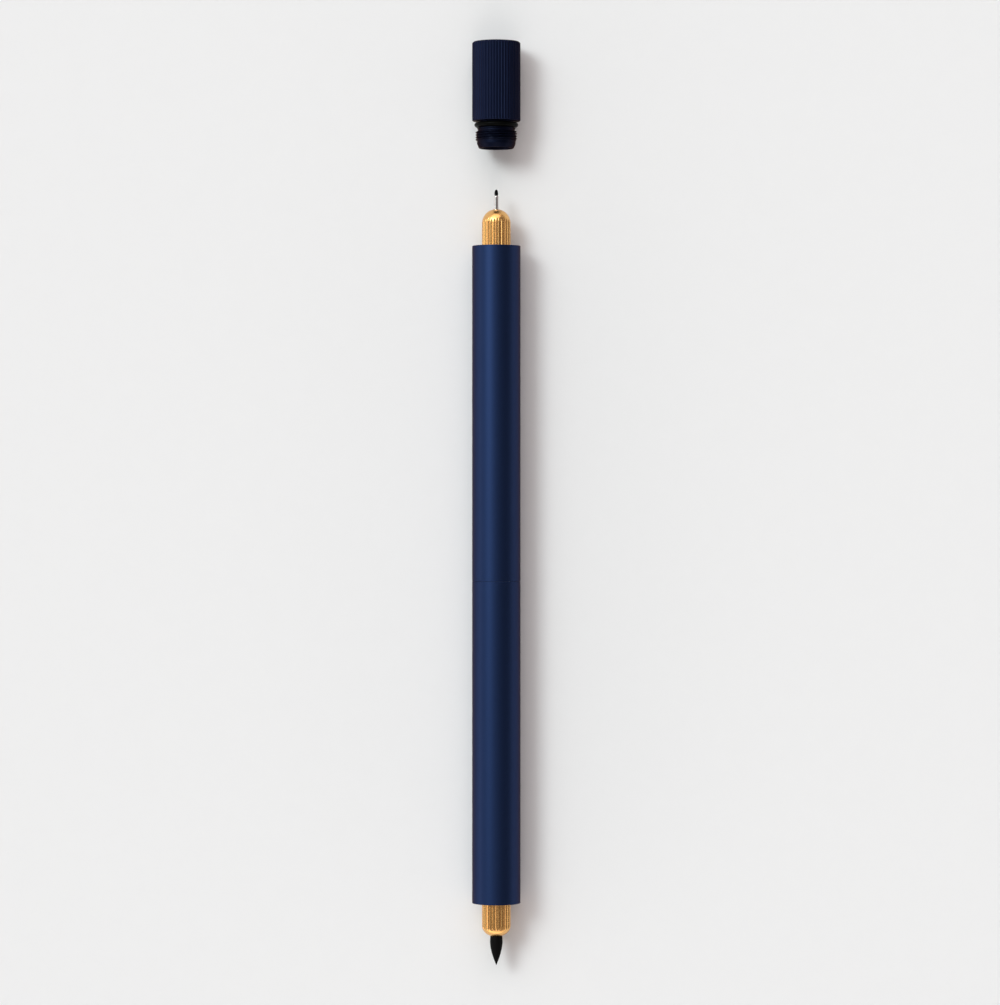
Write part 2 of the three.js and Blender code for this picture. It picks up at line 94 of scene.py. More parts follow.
def linear(hex_colour: str) -> tuple[float, float, float, float]:
    """Turns an sRGB hex colour to linear.

    Args:
        hex_colour: Six hex digits, with or without a leading #.

    Returns:
        Linear red, green and blue, and 1 for the alpha.
    """
    digits = hex_colour.lstrip("#")
    # The numbers are those of the sRGB curve itself
    channels = [int(digits[i:i + 2], 16) / 255 for i in (0, 2, 4)]
    red, green, blue = (c / 12.92 if c <= 0.04045 else ((c + 0.055) / 1.055) ** 2.4 for c in channels)
    return (red, green, blue, 1.0)


def add_node(tree: NodeTree, kind: str, inputs: dict[Any, Any] | None = None, **settings: Any) -> Node:
    """Adds a node with its settings and links.

    Args:
        tree: The tree that gets the node.
        kind: The node's type name.
        inputs: Values, output sockets or nodes, by the input's name or number. A node gives its first output.
        settings: The node's own properties.

    Returns:
        The new node.
    """
    node = tree.nodes.new(kind)
    for name, value in settings.items():
        setattr(node, name, value)
    for key, value in (inputs or {}).items():
        if isinstance(value, Node):
            value = value.outputs[0]
        if isinstance(value, NodeSocket):
            tree.links.new(value, node.inputs[key])
        else:
            node.inputs[key].default_value = value
    return node


def filleted(corners: list[tuple[float, float, float]], steps: int = 4) -> list[Point]:
    """Rounds an outline's corners.

    Args:
        corners: Radius, height and fillet radius of each corner, in order. The ends stay sharp.
        steps: Pieces in each fillet.

    Returns:
        The outline with an arc at each corner that has a fillet, and a point just beside each end of the arc.
    """
    outline: list[Point] = []
    for i, (radius, height, fillet) in enumerate(corners):
        here = Vector((radius, height))
        if fillet == 0 or i in (0, len(corners) - 1):
            outline.append((radius, height))
            continue
        before = Vector(corners[i - 1][:2]) - here
        after = Vector(corners[i + 1][:2]) - here
        half_angle = before.angle(after) / 2
        reach = min(fillet / math.tan(half_angle), LARGEST_REACH * min(before.length, after.length))
        start = here + before.normalized() * reach
        stop = here + after.normalized() * reach
        if reach + HOLD < before.length / 2:
            outline.append(tuple(start + before.normalized() * HOLD))
        inwards = (before.normalized() + after.normalized()).normalized()
        centre = here + inwards * (reach / math.cos(half_angle))
        first, last = start - centre, stop - centre
        turn = first.angle_signed(last)
        for step in range(steps + 1):
            arm = Matrix.Rotation(-turn * step / steps, 2) @ first
            outline.append(tuple(centre + arm))
        if reach + HOLD < after.length / 2:
            outline.append(tuple(stop + after.normalized() * HOLD))
    return outline


def refined(
    outline: list[Point], low: float, high: float, step: float, radius: float | None = None
) -> list[Point]:
    """Splits an outline's long stretches between two heights.

    Args:
        outline: Radius and height of each point.
        low: The lower height.
        high: The upper height.
        step: The longest piece that is left there.
        radius: If given, only stretches at this radius are split.

    Returns:
        The outline with more points between the two heights.
    """
    finer = [outline[0]]
    for (r0, y0), (r1, y1) in zip(outline, outline[1:]):
        inside = min(y0, y1) < high and max(y0, y1) > low
        if radius is not None:
            inside = inside and max(abs(r0 - radius), abs(r1 - radius)) < ON_CORE
        pieces = max(1, math.ceil(math.hypot(r1 - r0, y1 - y0) / step)) if inside else 1
        for i in range(1, pieces + 1):
            share = i / pieces
            finer.append((r0 + (r1 - r0) * share, y0 + (y1 - y0) * share))
    return finer


def circle_outline(middle: float, height: float, radius: float, points: int = 24) -> list[Point]:
    """The closed outline of a round cord.

    Args:
        middle: Distance of the cord's centre from the axis.
        height: Height of the cord's centre.
        radius: Radius of the cord.
        points: Points round the cord.

    Returns:
        The outline, whose last point is its first.
    """
    angles = [2 * math.pi * i / points for i in range(points + 1)]
    return [(middle + radius * math.cos(a), height - radius * math.sin(a)) for a in angles]


def dome_outline(
    radius: float, foot: float, height: float, from_radius: float, steps: int = 26
) -> list[Point]:
    """The outline of a half-ellipse dome, from near its top out to its foot.

    Args:
        radius: Radius of the dome's foot.
        foot: Height of the foot.
        height: Height of the dome above its foot.
        from_radius: Radius at which the outline starts.
        steps: Pieces in the outline.

    Returns:
        Radius and height of each point.
    """
    start = math.asin(from_radius / radius)
    angles = [start + (math.pi / 2 - start) * i / steps for i in range(steps + 1)]
    return [(radius * math.sin(a), foot + height * math.cos(a)) for a in angles]


# Turned pieces


@dataclass(frozen=True)
class Flutes:
    """Straight round-bottomed grooves along a turned piece.

    They are cut into the given radius, and the plain one is past every piece, so that none shows.
    The land is the share of each flute's width that stays uncut.
    """

    count: int = 0
    radius: float = 1000.0
    depth: float = 0.0
    land: float = 0.4


@dataclass(frozen=True)
class Thread:
    """A right-handed ridge round a turned piece, between two heights. In a bore its depth is below 0."""

    pitch: float = 1.0
    depth: float = 0.0
    core: float = 0.0
    low: float = 0.0
    high: float = 0.0
    rows: int = 10

    def split(self, outline: list[Point]) -> list[Point]:
        """Adds the rows of points that the ridge needs, so many to a pitch."""
        return refined(outline, self.low, self.high, self.pitch / self.rows, self.core)


def turning_tree() -> NodeTree:
    """Builds the node tree that turns an outline about the Y axis, with flutes and a thread.

    Returns:
        A tree whose geometry input is the outline, as a chain of points (radius, height, 0).
    """
    tree = bpy.data.node_groups.new("turned_piece", "GeometryNodeTree")
    face = tree.interface
    face.new_socket("Outline", in_out="INPUT", socket_type="NodeSocketGeometry")
    face.new_socket("Columns", in_out="INPUT", socket_type="NodeSocketInt")
    for label in ("Flutes", "Flute radius", "Flute depth", "Flute land"):
        face.new_socket(label, in_out="INPUT", socket_type="NodeSocketFloat")
    for label in ("Thread pitch", "Thread depth", "Thread core", "Thread low", "Thread high"):
        face.new_socket(label, in_out="INPUT", socket_type="NodeSocketFloat")
    face.new_socket("Finish", in_out="INPUT", socket_type="NodeSocketMaterial")
    face.new_socket("Piece", in_out="OUTPUT", socket_type="NodeSocketGeometry")
    given = add_node(tree, "NodeGroupInput").outputs

    # A grid with a row for each outline point, whose two edges and poles are merged in the end
    count = add_node(tree, "GeometryNodeAttributeDomainSize", {0: given["Outline"]}, component="MESH")
    across = add_node(tree, MATH, {0: given["Columns"], 1: 1.0}, operation="ADD")
    rows = count.outputs["Point Count"]
    grid = add_node(tree, "GeometryNodeMeshGrid", {"Vertices X": rows, "Vertices Y": across})
    index = add_node(tree, "GeometryNodeInputIndex")
    share = add_node(tree, MATH, {0: index, 1: across}, operation="DIVIDE")
    row = add_node(tree, MATH, {0: share}, operation="FLOOR")
    column = add_node(tree, MATH, {0: index, 1: across}, operation="MODULO")
    turn = add_node(tree, MATH, {0: column, 1: given["Columns"]}, operation="DIVIDE")
    place = add_node(tree, "GeometryNodeInputPosition")
    sample = add_node(
        tree, "GeometryNodeSampleIndex", {0: given["Outline"], 1: place, 2: row}, data_type="FLOAT_VECTOR"
    )
    point = add_node(tree, "ShaderNodeSeparateXYZ", {0: sample}).outputs

    # Flutes cut the surface back to a cosine groove, and run out where the outline is thinner
    lap = add_node(tree, MATH, {0: turn, 1: given["Flutes"]}, operation="MULTIPLY")
    phase = add_node(tree, MATH, {0: lap}, operation="FRACT")
    offset = add_node(tree, MATH, {0: phase, 1: 0.5}, operation="SUBTRACT")
    off_centre = add_node(tree, MATH, {0: offset}, operation="ABSOLUTE")
    groove = add_node(tree, MATH, {0: 1.0, 1: given["Flute land"]}, operation="SUBTRACT")
    half_groove = add_node(tree, MATH, {0: groove, 1: 0.5}, operation="MULTIPLY")
    span = add_node(tree, MAP_RANGE, {0: off_centre, 1: 0.0, 2: half_groove, 3: 0.0, 4: math.pi / 2})
    bump = add_node(tree, MATH, {0: span}, operation="COSINE")
    cut = add_node(tree, MATH, {0: bump, 1: given["Flute depth"]}, operation="MULTIPLY")
    floor = add_node(tree, MATH, {0: given["Flute radius"], 1: cut}, operation="SUBTRACT")
    fluted = add_node(tree, MATH, {0: point["X"], 1: floor}, operation="MINIMUM")

    # The thread's ridge climbs one pitch a turn, and fades in and out at its ends
    climb = add_node(tree, MATH, {0: point["Y"], 1: given["Thread pitch"]}, operation="DIVIDE")
    wound = add_node(tree, MATH, {0: climb, 1: turn}, operation="SUBTRACT")
    crest = add_node(tree, MATH, {0: wound}, operation="FRACT")
    past = add_node(tree, MATH, {0: crest, 1: 0.5}, operation="SUBTRACT")
    away = add_node(tree, MATH, {0: past}, operation="ABSOLUTE")
    ridge = add_node(tree, MAP_RANGE, {0: away, 1: RIDGE_FOOT, 2: RIDGE_CREST, 3: 0.0, 4: 1.0})
    above = add_node(tree, MATH, {0: point["Y"], 1: given["Thread low"]}, operation="SUBTRACT")
    below = add_node(tree, MATH, {0: given["Thread high"], 1: point["Y"]}, operation="SUBTRACT")
    nearest = add_node(tree, MATH, {0: above, 1: below}, operation="MINIMUM")
    fade_length = add_node(tree, MATH, {0: given["Thread pitch"], 1: RIDGE_FADE}, operation="MULTIPLY")
    fade = add_node(tree, MAP_RANGE, {0: nearest, 1: 0.0, 2: fade_length, 3: 0.0, 4: 1.0})
    on_core = add_node(
        tree, MATH, {0: point["X"], 1: given["Thread core"], 2: ON_CORE * MM}, operation="COMPARE"
    )
    shown = add_node(tree, MATH, {0: fade, 1: on_core}, operation="MULTIPLY")
    height = add_node(tree, MATH, {0: ridge, 1: given["Thread depth"]}, operation="MULTIPLY")
    raised = add_node(tree, MATH, {0: height, 1: shown, 2: fluted}, operation="MULTIPLY_ADD")

    angle = add_node(tree, MATH, {0: turn, 1: 2 * math.pi}, operation="MULTIPLY")
    sine = add_node(tree, MATH, {0: angle}, operation="SINE")
    cosine = add_node(tree, MATH, {0: angle}, operation="COSINE")
    sideways = add_node(tree, MATH, {0: raised, 1: sine}, operation="MULTIPLY")
    upwards = add_node(tree, MATH, {0: raised, 1: cosine}, operation="MULTIPLY")
    target = add_node(tree, "ShaderNodeCombineXYZ", {0: sideways, 1: point["Y"], 2: upwards})
    moved = add_node(tree, "GeometryNodeSetPosition", {"Geometry": grid.outputs["Mesh"], "Position": target})
    merged = add_node(tree, "GeometryNodeMergeByDistance", {"Geometry": moved, "Distance": MERGE_DISTANCE})
    real = add_node(tree, "GeometryNodeRealizeInstances", {"Geometry": merged})
    dressed = add_node(tree, "GeometryNodeSetMaterial", {"Geometry": real, "Material": given["Finish"]})
    add_node(tree, "NodeGroupOutput", {0: dressed})
    return tree


@dataclass
class Lathe:
    """Turns outlines to finished pieces with one node tree."""

    tree: NodeTree = field(default_factory=turning_tree)

    def turn(
        self,
        name: str,
        outline: list[Point],
        place: Matrix,
        finish: Material,
        columns: int = 96,
        flutes: Flutes | None = None,
        thread: Thread | None = None,
    ) -> Object:
        """Makes one closed piece, a plain mesh in its place.

        Args:
            name: The piece's name.
            outline: Radius and height in millimetres. Its ends meet, or both lie on the axis.
            place: Where the outline's origin and axes go in the frame.
            finish: The piece's material.
            columns: Steps round the axis.
            flutes: Grooves along the piece.
            thread: A ridge round the piece.

        Returns:
            The finished object.
        """
        flutes, thread = flutes or Flutes(), thread or Thread()
        chain = bpy.data.meshes.new(f"{name}_outline")
        edges = [(i, i + 1) for i in range(len(outline) - 1)]
        chain.from_pydata([(r * MM, y * MM, 0.0) for r, y in outline], edges, [])
        piece = bpy.data.objects.new(name, chain)
        bpy.context.scene.collection.objects.link(piece)
        modifier = piece.modifiers.new("turned", "NODES")
        modifier.node_group = self.tree
        settings = {
            "Columns": columns,
            "Flutes": float(flutes.count),
            "Flute radius": flutes.radius * MM,
            "Flute depth": flutes.depth * MM,
            "Flute land": flutes.land,
            "Thread pitch": thread.pitch * MM,
            "Thread depth": thread.depth * MM,
            "Thread core": thread.core * MM,
            "Thread low": thread.low * MM,
            "Thread high": thread.high * MM,
            "Finish": finish,
        }
        for socket in self.tree.interface.items_tree:
            if socket.name in settings:
                modifier[socket.identifier] = settings[socket.name]
        graph = bpy.context.evaluated_depsgraph_get()
        finished = bpy.data.meshes.new_from_object(piece.evaluated_get(graph), depsgraph=graph)
        piece.modifiers.remove(modifier)
        piece.data = finished
        finished.name = name
        bpy.data.meshes.remove(chain)
        self.close(finished, place)
        return piece

    @staticmethod
    def close(mesh: Mesh, place: Matrix) -> None:
        """Puts a mesh in its place with outward faces and smooth shading up to its sharp edges.

        Args:
            mesh: The mesh to finish.
            place: Its place in the frame.
        """
        mesh.transform(place)
        work = bmesh.new()
        work.from_mesh(mesh)
        bmesh.ops.dissolve_degenerate(work, dist=SHORTEST_EDGE, edges=work.edges)
        bmesh.ops.recalc_face_normals(work, faces=work.faces)
        work.to_mesh(mesh)
        work.free()
        mesh.shade_smooth()
        mesh.set_sharp_from_angle(angle=SHARP_ANGLE)


# Finishes


@dataclass(frozen=True)
class Finish:
    """What all finishes share: a name, a base colour and one shader."""

    name: str
    colour: str
    roughness: float
    metallic: float = 0.0
    gloss: float = 0.5

    def material(self) -> Material:
        """Makes the material.

        Returns:
            The material, with its nodes.
        """
        made = bpy.data.materials.new(self.name)
        made.use_nodes = True
        tree = made.node_tree
        tree.nodes.clear()
        shader = add_node(
            tree, "ShaderNodeBsdfPrincipled", {"Metallic": self.metallic, "Specular IOR Level": self.gloss}
        )
        add_node(tree, "ShaderNodeOutputMaterial", {"Surface": shader.outputs[0]})
        self.dress(tree, shader, add_node(tree, "ShaderNodeTexCoord").outputs["Object"])
        return made

    def dress(self, tree: NodeTree, shader: Node, place: NodeSocket) -> None:
        """Adds the finish's own pattern.

        Args:
            tree: The material's node tree.
            shader: Its shader.
            place: The point on the object.
        """
        raise NotImplementedError

    def vary(
        self,
        tree: NodeTree,
        shader: Node,
        pattern: Node,
        darker: float,
        rougher: float,
        relief: float,
    ) -> None:
        """Lets one pattern change the colour, the roughness and the relief together.

        Args:
            tree: The material's node tree.
            shader: Its shader.
            pattern: The node that gives it, from 0 to 1 and about 0.5 on average.
            darker: Share by which the colour falls where the pattern is 0.
            rougher: Change of the roughness each way.
            relief: Height of the pattern in millimetres.
        """
        full = linear(self.colour)
        low = tuple(c * (1 - darker) for c in full[:3]) + (1.0,)
        mixed = add_node(tree, "ShaderNodeMix", {0: pattern, 6: low, 7: full}, data_type="RGBA").outputs[2]
        tree.links.new(mixed, shader.inputs["Base Color"])
        ends = {3: self.roughness - rougher, 4: self.roughness + rougher}
        rough = add_node(tree, MAP_RANGE, {0: pattern, **ends}).outputs[0]
        tree.links.new(rough, shader.inputs["Roughness"])
        bump = add_node(tree, "ShaderNodeBump", {"Height": pattern, "Distance": relief * MM}).outputs[0]
        tree.links.new(bump, shader.inputs["Normal"])


@dataclass(frozen=True)
class Anodised(Finish):
    """Dyed anodised aluminium, bead-blasted first: a satin metal sheen under a thin clear oxide layer.

    Blasting leaves pits of about 0.06 mm, which are too fine to show, so they are drawn 0.22 mm wide.
    Below the frame's Y of painted_shade_below, in millimetres, the colour keeps only painted_shade_share of
    itself: painted shade for a recessed end.
    """

    pit: float = 0.22
    coat: float = 0.1
    coat_roughness: float = 0.35
    painted_shade_below: float = -1000.0
    painted_shade_share: float = 0.55
    edge: str = "#C8B098"

    def dress(self, tree: NodeTree, shader: Node, place: NodeSocket) -> None:
        """Adds the blasted pits, the oxide's own sheen and the painted shade towards one end.

        Args:
            tree: The material's node tree.
            shader: Its shader.
            place: The point on the object.
        """
        shader.inputs["Coat Weight"].default_value = self.coat
        shader.inputs["Coat Roughness"].default_value = self.coat_roughness
        shader.inputs["Specular Tint"].default_value = linear(self.edge)
        settings = {"Vector": place, "Scale": 1 / (self.pit * MM), "Detail": 2.0, "Roughness": 0.6}
        pits = add_node(tree, NOISE, settings)
        self.vary(tree, shader, pits, darker=0.16, rougher=0.05, relief=0.003)
        dyed = shader.inputs["Base Color"].links[0].from_socket
        # Painted shade: below a set height the colour is darkened, standing in for the shade on the cap's
        # recessed spigot
        along = add_node(tree, "ShaderNodeSeparateXYZ", {0: place}).outputs["Y"]
        below = add_node(tree, MATH, {0: along, 1: self.painted_shade_below * MM}, operation="LESS_THAN").outputs[0]
        shade = add_node(tree, MAP_RANGE, {0: below, 3: 1.0, 4: self.painted_shade_share}).outputs[0]
        darker = add_node(tree, VECTOR_MATH, {0: dyed, "Scale": shade}, operation="SCALE").outputs[0]
        tree.links.new(darker, shader.inputs["Base Color"])


@dataclass(frozen=True)
class Turned(Finish):
    """Lathe-turned metal: fine rings round the axis from the tool's feed, left bare or polished down.

    A finishing feed is about 0.05 mm, which is too fine to show, so the rings are drawn wider apart.
    """

    feed: float = 0.12
    cloud: float = 1.5
    cloud_share: float = 0.4
    relief: float = 0.002
    rougher: float = 0.04
    stain: float = 0.1

    def dress(self, tree: NodeTree, shader: Node, place: NodeSocket) -> None:
        """Adds the rings, and cloudy handling marks that break them up.

        Args:
            tree: The material's node tree.
            shader: Its shader.
            place: The point on the object.
        """
        along = add_node(tree, "ShaderNodeSeparateXYZ", {0: place}).outputs["Y"]
        settings = {"W": along, "Scale": 1 / (self.feed * MM), "Detail": 2.0}
        rings = add_node(tree, NOISE, settings, noise_dimensions="1D").outputs[0]
        clouds = add_node(tree, NOISE, {"Vector": place, "Scale": 1 / (self.cloud * MM)}).outputs[0]
        both = add_node(tree, "ShaderNodeMix", {0: self.cloud_share, 2: rings, 3: clouds})
        self.vary(tree, shader, both, darker=self.stain, rougher=self.rougher, relief=self.relief)


@dataclass(frozen=True)
class Drawn(Finish):
    """Something made in long fibres or drawn through a die: fine streaks along the axis.

    The streaks of a drawn tube or a bonded fibre are about 0.02 mm wide, and are drawn wider so that
    they show.
    """

    streak: float = 0.06
    length: float = 2.0
    relief: float = 0.001
    rougher: float = 0.05
    darker: float = 0.15

    def dress(self, tree: NodeTree, shader: Node, place: NodeSocket) -> None:
        """Adds the streaks.

        Args:
            tree: The material's node tree.
            shader: Its shader.
            place: The point on the object.
        """
        across, along = 1 / (self.streak * MM), 1 / (self.length * MM)
        stretched = add_node(
            tree, "ShaderNodeMapping", {"Vector": place, "Scale": (across, along, across)}
        ).outputs[0]
        streaks = add_node(tree, NOISE, {"Vector": stretched, "Scale": 1.0, "Detail": 3.0})
        self.vary(tree, shader, streaks, darker=self.darker, rougher=self.rougher, relief=self.relief)


@dataclass(frozen=True)
class Moulded(Finish):
    """Moulded rubber or plastic: an even skin with the fine texture of its mould."""

    texture: float = 0.3
    relief: float = 0.003
    rougher: float = 0.06
    darker: float = 0.1

    def dress(self, tree: NodeTree, shader: Node, place: NodeSocket) -> None:
        """Adds the mould's texture, as Finish.dress says."""
        skin = {"Vector": place, "Scale": 1 / (self.texture * MM), "Detail": 3.0}
        self.vary(tree, shader, add_node(tree, NOISE, skin), self.darker, self.rougher, self.relief)


class FinishSet:
    """Every material of the pen, by what it is made of."""

    def __init__(self) -> None:
        """Makes the materials."""
        # Satin navy with a blue glow where the light falls on it and greyer edges
        self.anodised = Anodised(
            "anodised_aluminium_navy", "#22345A", roughness=0.46, metallic=1.0
        ).material()
        # The same anodising on the cap, with its colour painted darker as shade: its flutes scatter the
        # light, so it looks darker and flatter
        self.painted_shade_anodised_cap = Anodised(
            # Painted shade on the recessed spigot and its thread, below 79 mm of the frame's Y
            "anodised_aluminium_navy_fluted_painted_shade", "#111A34", roughness=0.52, metallic=1.0, painted_shade_below=79.0
        ).material()
        # Warm yellow with soft bright lines along its flutes, since the polish has worn the rings away
        self.brass = Turned(
            "polished_brass", "#EEB871", roughness=0.27, metallic=1.0,
            feed=0.3, relief=0.0001, rougher=0.02, stain=0.05,
        ).material()
        # A narrow bright tube, nearly white on its lit side and warm grey on the other
        self.steel = Drawn(
            "drawn_stainless_steel", "#E9E6E4", roughness=0.16, metallic=1.0, length=6.0, relief=0.0001
        ).material()
        # Plain grey metal with visible tool rings
        self.aluminium = Turned(
            "turned_aluminium", "#B9BCC0", roughness=0.3, metallic=1.0, relief=0.003, rougher=0.06
        ).material()
        # Near black with hardly any sheen
        self.rubber = Moulded("nitrile_rubber_black", "#060706", roughness=0.36, gloss=0.03).material()
        # Black and matt, with fine fibres along it
        self.fibre = Drawn(
            "bonded_fibre_black", "#070606", roughness=0.7, gloss=0.08, relief=0.004, darker=0.4
        ).material()
        # Milky natural resin with a soft sheen
        self.plastic = Moulded("moulded_acetal_natural", "#E6E3DA", roughness=0.4).material()
        # Ink-soaked polyester wadding
        self.wadding = Drawn(
            "polyester_wadding_inked", "#1F2329", roughness=0.85, streak=0.15, relief=0.02, darker=0.5
        ).material()


# The pen's pieces


def finish_piece(piece: Object, body: str, node: str) -> Object:
    """Ties a finished piece to the frame.

    Args:
        piece: The piece.
        body: The body that it moves with.
        node: The CAD node that it stands for.

    Returns:
        The piece.
    """
    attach(piece, body)
    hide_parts(node)
    return piece


def place_at(height: float, turned: bool = False) -> Matrix:
    """The place of a local frame on the pen's axis.

    Args:
        height: World Y of the local origin, in metres.
        turned: True if the local Y axis points down the pen.

    Returns:
        The matrix from the local frame to the world.
    """
    half_turn = Matrix.Rotation(math.pi if turned else 0.0, 4, "Z")
    return Matrix.Translation((0.0, height, AXIS_HEIGHT * MM)) @ half_turn


@dataclass
class Barrel:
    """One half of the pen's body. Its local origin is at its rim, with Y pointing out of it.

    Its outline starts and ends on the rim, by start_in inside the outer radius.
    """

    length: float
    radius: float = 5.0
    start_in: float = 0.22
    bore: float = 4.35
    seat_radius: float = 4.58
    thread: Thread = Thread(pitch=0.5, depth=-0.25, core=4.6, low=-4.1, high=-1.6)
    run_out: float = 0.2
    rim: float = 0.06
    seam_edge: float = 0.06
    bore_edge: float = 0.12
    columns: int = 180

    def outline(self) -> list[Point]:
        """The barrel's closed outline.

        Returns:
            Radius and height of each point.
        """
        seat, bottom, start = self.seat_radius, -self.length, self.radius - self.start_in
        corners = [
            (start, 0.0, 0.0),
            (self.radius, 0.0, self.rim),
            (self.radius, bottom, self.seam_edge),
            (self.bore, bottom, self.bore_edge),
            (self.bore, self.thread.low - self.run_out, 0.0),
            (self.thread.core, self.thread.low, 0.0),
            (self.thread.core, self.thread.high, 0.0),
            (seat, self.thread.high, 0.0),
            (seat, 0.0, EDGE),
            (start, 0.0, 0.0),
        ]
        return self.thread.split(filleted(corners))


@dataclass
class SeatRing:
    """The ring glued in a barrel, which takes the holder's thread.

    Its outline starts and ends on its front, at the radius start.
    """

    radius: float = 4.32
    start: float = 3.5
    top: float = -5.95
    bottom: float = -9.85
    pocket_radius: float = 2.72
    pocket_floor: float = -6.6
    pocket_edge: float = 0.03
    bore: float = 2.6

    def outline(self) -> list[Point]:
        """The ring's closed outline.

        Returns:
            Radius and height of each point.
        """
        return filleted([
            (self.start, self.top, 0.0),
            (self.radius, self.top, EDGE),
            (self.radius, self.bottom, EDGE),
            (self.bore, self.bottom, EDGE),
            (self.bore, self.pocket_floor, self.pocket_edge),
            (self.pocket_radius, self.pocket_floor, self.pocket_edge),
            (self.pocket_radius, self.top, EDGE),
            (self.start, self.top, 0.0),
        ])


@dataclass
class Holder:
    """A fluted brass nib holder with a domed nose, whose hole has a lip bevelled by the given amount."""

    dome: float
    hole: float
    bore_top: float
    radius: float = 2.95
    shoulder: float = -5.9
    dome_foot: float = 4.75
    neck: float = 2.04
    spigot: float = 2.1
    tail: float = -12.85
    bore: float = 1.6
    lip: float = 0.05
    shoulder_edge: float = 0.12
    tail_edge: float = 0.15
    thread: Thread = Thread(pitch=0.8, depth=0.35, core=2.2, low=-9.85, high=-6.65, rows=12)
    flutes: Flutes = Flutes(count=28, radius=2.95, depth=0.14, land=0.35)
    columns: int = 336
    longest: float = 1.0

    def outline(self) -> list[Point]:
        """The holder's closed outline, from the nose inwards.

        Returns:
            Radius and height of each point.
        """
        mouth = self.hole + self.lip
        nose = dome_outline(self.radius, self.dome_foot, self.dome, mouth)
        top = nose[0][1]
        body = filleted([
            nose[-1] + (0.0,),
            (self.radius, self.shoulder, self.shoulder_edge),
            (self.neck, self.shoulder, FINE),
            (self.neck, self.thread.high, 0.0),
            (self.thread.core, self.thread.high, 0.0),
            (self.thread.core, self.thread.low, 0.0),
            (self.spigot, self.thread.low, 0.0),
            (self.spigot, self.tail, self.tail_edge),
            (self.bore, self.tail, FINE),
            (self.bore, self.bore_top, EDGE),
            (self.hole, self.bore_top, 0.0),
            (self.hole, top - self.lip, 0.0),
            (mouth, top, 0.0),
        ])
        return refined(self.thread.split(nose + body[1:]), self.shoulder, self.dome_foot, self.longest)


@dataclass(frozen=True)
class Seal:
    """A round-cord rubber ring."""

    outside: float
    cord: float
    height: float
    columns: int = 96

    def outline(self) -> list[Point]:
        """The cord's closed outline."""
        return circle_outline(self.outside - self.cord / 2, self.height, self.cord / 2)


@dataclass
class Sleeve:
    """The thin steel tube round the fineliner nib.

    Its mouth slopes inwards over the slope's two sizes, and is bevelled inside.
    """

    radius: float = 0.52
    bore: float = 0.41
    low: float = 2.8
    high: float = 10.35
    slope_in: float = 0.045
    slope_down: float = 0.14
    bevel_out: float = 0.03
    bevel_down: float = 0.06
    mouth_edge: float = 0.03
    slope_edge: float = 0.08
    low_edge: float = 0.02

    def outline(self) -> list[Point]:
        """The tube's closed outline.

        Returns:
            Radius and height of each point.
        """
        inner = self.bore + self.bevel_out
        return filleted([
            (inner, self.high, 0.0),
            (self.radius - self.slope_in, self.high, self.mouth_edge),
            (self.radius, self.high - self.slope_down, self.slope_edge),
            (self.radius, self.low, self.low_edge),
            (self.bore, self.low, self.low_edge),
            (self.bore, self.high - self.bevel_down, 0.0),
            (inner, self.high, 0.0),
        ])


@dataclass
class FinelinerNib:
    """A long thin rod with an egg-shaped point, and a neck behind it.

    The egg's front is the share of its length from its widest place to its tip.
    """

    back_radius: float = 0.32
    back_edge: float = 0.1
    rod_radius: float = 0.38
    neck_foot: float = 9.6
    neck_top: float = 10.1
    neck_radius: float = 0.27
    radius: float = 0.385
    reach: float = 11.7
    egg: float = 1.4
    front: float = 0.62
    steps: int = 24

    def outline(self) -> list[Point]:
        """The nib's outline, from its back to its tip.

        Returns:
            Radius and height of each point.
        """
        rod = [
            (0.0, NIB_BACK),
            (self.back_radius, NIB_BACK),
            (self.rod_radius, NIB_BACK + self.back_edge),
            (self.rod_radius, self.neck_foot),
            (self.neck_radius, self.neck_top),
        ]
        egg = []
        for i in range(self.steps):
            share = i / self.steps
            if share < 1 - self.front:
                swell = math.sin(math.pi / 2 * share / (1 - self.front))
                wide = self.neck_radius + (self.radius - self.neck_radius) * swell
            else:
                wide = self.radius * math.sqrt(1 - ((share - 1 + self.front) / self.front) ** 2)
            egg.append((wide, self.reach - self.egg + self.egg * share))
        return rod + egg + [(0.0, self.reach)]


@dataclass
class BrushNib:
    """A nib that swells past the holder's nose and then tapers to a fine point."""

    back_radius: float = 1.15
    back_edge: float = 0.15
    radius: float = 1.25
    swell_foot: float = 6.9
    swell: tuple[Point, ...] = ((1.28, 7.3), (1.3, 7.65))
    belly: float = 1.31
    reach: float = 12.9
    taper: float = 4.9
    fullness: float = 1.65
    steps: int = 40

    def outline(self) -> list[Point]:
        """The nib's outline, from its back to its tip.

        Returns:
            Radius and height of each point.
        """
        shaft = [
            (0.0, NIB_BACK),
            (self.back_radius, NIB_BACK),
            (self.radius, NIB_BACK + self.back_edge),
            (self.radius, self.swell_foot),
            *self.swell,
        ]
        foot = self.reach - self.taper
        shares = [i / self.steps for i in range(self.steps)]
        tip = [(self.belly * (1 - s ** self.fullness), foot + self.taper * s) for s in shares]
        return shaft + tip + [(0.0, self.reach)]


